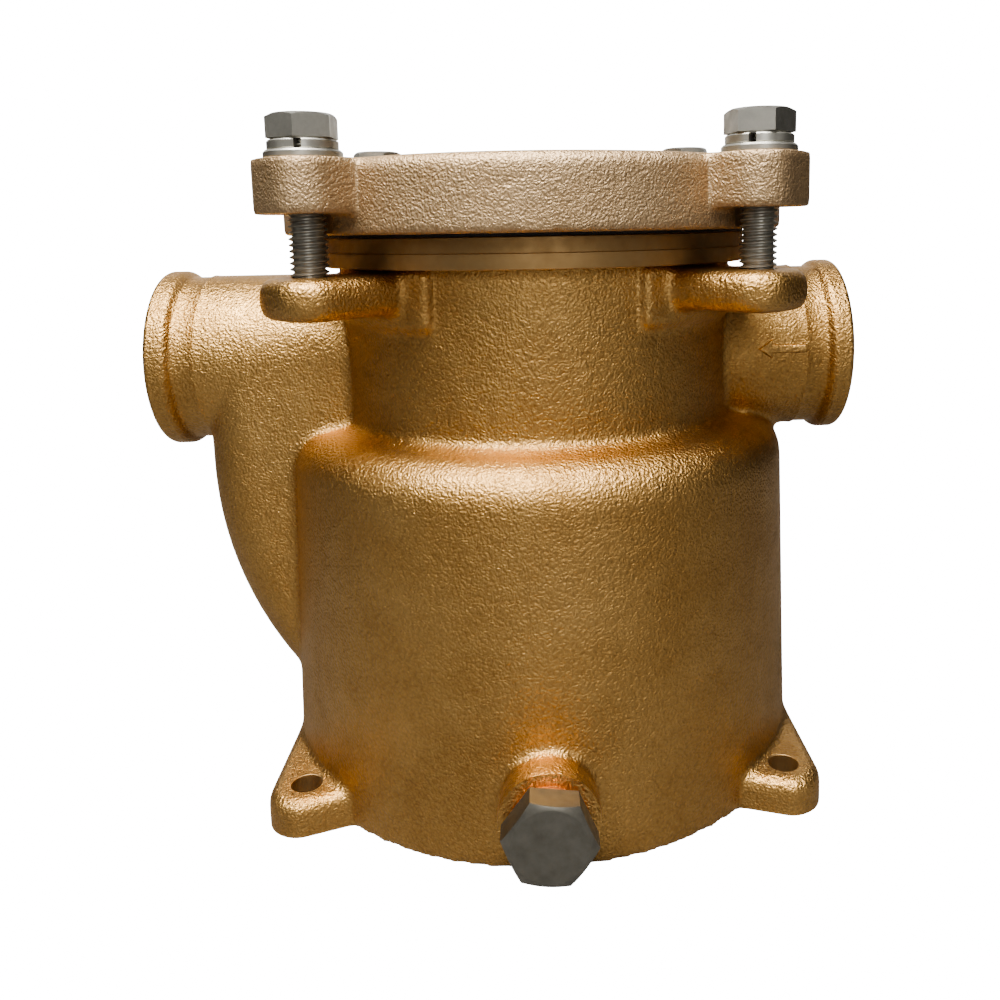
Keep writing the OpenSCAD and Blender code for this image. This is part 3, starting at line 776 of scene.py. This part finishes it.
def buildEars(s):
    parts = []
    low = s["rimTop"] - s["earDown"]
    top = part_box("handle_ears")[1].z / mm
    half = s["earHalf"]
    for side in (0, 180):
        outline = [(-half, low)] + [(x, z) for x, z in reversed(
            around(0, top - half, half, 0, 180, 12))] + [(half, low)]
        plate = prism(outline, s["earX"], s["earX"] + s["earThick"])
        plate = placed(plate, Matrix(((0, 0, 1, 0), (1, 0, 0, 0), (0, 1, 0, 0), (0, 0, 0, 1))))
        parts.append(placed(plate, turn(side)))
    obj = asObject("handleEars", joined(parts), [basketSteel])
    pin = lathe([(0, -60), (s["wire"] + 0.08, -60), (s["wire"] + 0.08, 60), (0, 60)], 32)
    combine(obj, alongX(pin, 1, s["pivot"]), "DIFFERENCE")
    return install(crisp(obj), "basket", "basket_steel", "handle_ears")


def buildHandle(s):
    # a bail of round wire, its ends bent inwards as pins
    bend = s["bend"]
    path = [(s["earX"] - 0.5, 0)]
    path += [(s["handle"] - bend + bend * math.sin(a), -(bend - bend * math.cos(a)))
             for a in (math.radians(15 * k) for k in range(7))]
    right = path + [(s["handle"] * math.cos(a), -s["handle"] * math.sin(a))
                    for a in (math.radians(8 + 82 * k / 16) for k in range(1, 17))]
    points = right + [(-x, y) for x, y in reversed(right[:-1])]
    curve = bpy.data.curves.new("handlePath", "CURVE")
    curve.dimensions = "3D"
    curve.bevel_depth = s["wire"] * mm
    curve.bevel_resolution = 5
    curve.use_fill_caps = True
    line = curve.splines.new("POLY")
    line.points.add(len(points) - 1)
    for point, (x, y) in zip(line.points, points):
        point.co = (x * mm, y * mm, s["pivot"] * mm, 1)
    temp = bpy.data.objects.new("handlePath", curve)
    bpy.context.scene.collection.objects.link(temp)
    bpy.context.view_layer.update()
    mesh = bpy.data.meshes.new_from_object(temp.evaluated_get(bpy.context.evaluated_depsgraph_get()))
    bpy.data.objects.remove(temp)
    bm = bmesh.new()
    bm.from_mesh(mesh)
    bpy.data.meshes.remove(mesh)
    obj = asObject("basketHandle", closed(bm), [basketSteel])
    return install(crisp(obj, 50), "handle", "basket_steel", "basket_handle")


buildEars(basketSize)
buildHandle(basketSize)
print("basket built")


drainSize = dict(radius=5, pitch=1.5, flats=17, height=6.4, length=16, head=74.5, turn=-7)


def buildDrain(s):
    z = bodySize["drainZ"]
    place = at(0, 0, z) @ turn(90, "X") @ at(0, 0, s["head"])
    head = placed(hexHead(s["flats"], s["height"], 30), turn(s["turn"]))
    shank = threadedShank(s["radius"], s["pitch"], s["length"])
    obj = asObject("drainPlug", placed(joined([head, shank]), place), [plugSteel])
    install(crisp(obj, 30), "drain_plug_set", "bolt_steel", "drain_plug")
    inner, outer, thick, edge = 5.2, 8.0, 1.5, 0.3
    profile = [(inner, 0), (outer - edge, 0), (outer, edge), (outer, thick - edge), (outer - edge, thick),
               (inner, thick)]
    ring = placed(lathe(profile, 72), at(0, 0, z) @ turn(90, "X") @ at(0, 0, s["head"] - thick))
    ring = asObject("drainWasher", ring, [copper])
    install(crisp(ring), "drain_washer_set", "copper", "drain_washer")


buildDrain(drainSize)

portThread = dict(pitch=2.309, major=16.62, minor=15.15, length=13.9, inset=1.2, wall=0.25)


def buildPortThread(name, reach, direction, s):
    p = s["pitch"]
    profile = [(s["major"], 0), (s["major"] - 0.1, 0.15), (s["minor"], p / 2 - 0.2),
               (s["minor"], p / 2 + 0.2), (s["major"] - 0.1, p - 0.15), (s["major"], p)]
    turns = int(s["length"] / p)
    bm = helix(profile, p, turns - 1, 48)
    placed(bm, at(0, 0, reach - s["inset"] - turns * p))
    obj = asObject(name, alongX(bm, direction, bodySize["portZ"]), [turnedBronze])
    solid = obj.modifiers.new("wall", "SOLIDIFY")
    solid.thickness = s["wall"] * mm
    solid.offset = 0
    bake(obj)
    return install(crisp(obj, 30), "housing", "cast_bronze")


buildPortThread("inletThread", bodySize["inlet"], 1, portThread)
buildPortThread("outletThread", bodySize["outlet"], -1, portThread)
print("drain and threads built")


stage = dict(white=9.0, glow=0.92, room=0.02, paper=0.15)
lamps = dict(
    top=dict(energy=12, place=(-0.10, -0.25, 0.75), aim=(0, 0, 0.10), size=(0.55, 0.40)),
    front=dict(energy=0.85, place=(0.10, -0.95, 0.28), aim=(0, 0, 0.08), size=(0.28, 0.45)),
    high=dict(energy=1.1, place=(0.05, -0.82, 0.52), aim=(0, 0, 0.08), size=(0.50, 0.20)),
    left=dict(energy=0.5, place=(-0.65, -0.45, 0.45), aim=(0, 0, 0.10), size=(0.20, 0.35)),
    right=dict(energy=0.25, place=(0.65, -0.45, 0.40), aim=(0, 0, 0.10), size=(0.20, 0.35)),
    back=dict(energy=2.4, place=(0, 0.75, 0.42), aim=(0, 0, 0.08), size=(1.4, 0.5)))
view = dict(distance=242.96, height=134.46, yaw=0.25, pan=2.26, pitch=8.34, roll=0.98,
            lens=33.07, shiftX=-0.0735, shiftY=-0.1363)


def setCamera(s):
    data = bpy.data.cameras.new("camera")
    data.sensor_width = 36
    data.lens = s["lens"]
    data.shift_x = s["shiftX"]
    data.shift_y = s["shiftY"]
    data.clip_start = 0.01
    yaw = math.radians(s["yaw"])
    heading = math.radians(s["yaw"] + s["pan"])
    pitch = math.radians(s["pitch"])
    roll = math.radians(s["roll"])
    ahead = Vector((math.sin(heading), math.cos(heading), 0))
    right = Vector((math.cos(heading), -math.sin(heading), 0))
    up = math.sin(pitch) * ahead + math.cos(pitch) * Vector((0, 0, 1))
    forward = math.cos(pitch) * ahead - math.sin(pitch) * Vector((0, 0, 1))
    tilted = math.cos(roll) * right - math.sin(roll) * up
    upright = math.cos(roll) * up + math.sin(roll) * right
    matrix = Matrix((tilted, upright, -forward)).transposed().to_4x4()
    matrix.translation = Vector((-s["distance"] * math.sin(yaw), -s["distance"] * math.cos(yaw),
                                 s["height"])) * mm
    camera = bpy.data.objects.new("camera", data)
    camera.matrix_world = matrix
    bpy.context.scene.collection.objects.link(camera)
    bpy.context.scene.camera = camera


def addLight(name, energy, place, aim, size):
    data = bpy.data.lights.new(name, "AREA")
    data.shape = "RECTANGLE"
    data.size, data.size_y = size
    data.energy = energy
    lamp = bpy.data.objects.new(name, data)
    lamp.location = place
    lamp.rotation_euler = (Vector(aim) - Vector(place)).to_track_quat("-Z", "Y").to_euler()
    bpy.context.scene.collection.objects.link(lamp)


def setStage():
    # a paper sweep that the camera sees as white, under one large overhead light and weak fill lights
    bm = bmesh.new()
    start, bend, height = 0.9, 0.6, 3
    path = [(-3, 0), (start, 0)] + [(start + bend * math.sin(a), bend - bend * math.cos(a))
                                    for a in (math.radians(15 * k) for k in range(1, 7))]
    path.append((start + bend, height))
    verts = [bm.verts.new((-4, y, z)) for y, z in path]
    edges = [bm.edges.new(pair) for pair in zip(verts, verts[1:])]
    wide = bmesh.ops.extrude_edge_only(bm, edges=edges)
    bmesh.ops.translate(bm, vec=(8, 0, 0), verts=newVerts(wide))
    bmesh.ops.recalc_face_normals(bm, faces=bm.faces)
    paper = bpy.data.materials.new("paper")
    paper.use_nodes = True
    tree = paper.node_tree
    shader = tree.nodes["Principled BSDF"]
    shader.inputs["Base Color"].default_value = (*[stage["paper"]] * 3, 1)
    shader.inputs["Roughness"].default_value = 0.9
    glow = node(tree, "ShaderNodeEmission", {"Color": (1, 1, 1, 1), "Strength": stage["white"]})
    cameraRay = node(tree, "ShaderNodeLightPath").outputs["Is Camera Ray"]
    seen = calc(tree, "MULTIPLY", cameraRay, stage["glow"])
    mix = node(tree, "ShaderNodeMixShader", {0: seen, 1: shader.outputs[0], 2: glow.outputs[0]})
    tree.links.new(mix.outputs[0], tree.nodes["Material Output"].inputs["Surface"])
    crisp(asObject("sweep", bm, [paper]), 60)
    world = bpy.data.worlds.new("room")
    bpy.context.scene.world = world
    world.use_nodes = True
    world.node_tree.nodes["Background"].inputs["Color"].default_value = (0.80, 0.78, 0.75, 1)
    world.node_tree.nodes["Background"].inputs["Strength"].default_value = stage["room"]
    for name, settings in lamps.items():
        addLight(name, **settings)


setCamera(view)
setStage()
bpy.context.scene.view_settings.look = "AgX - Medium High Contrast"
print("stage set")
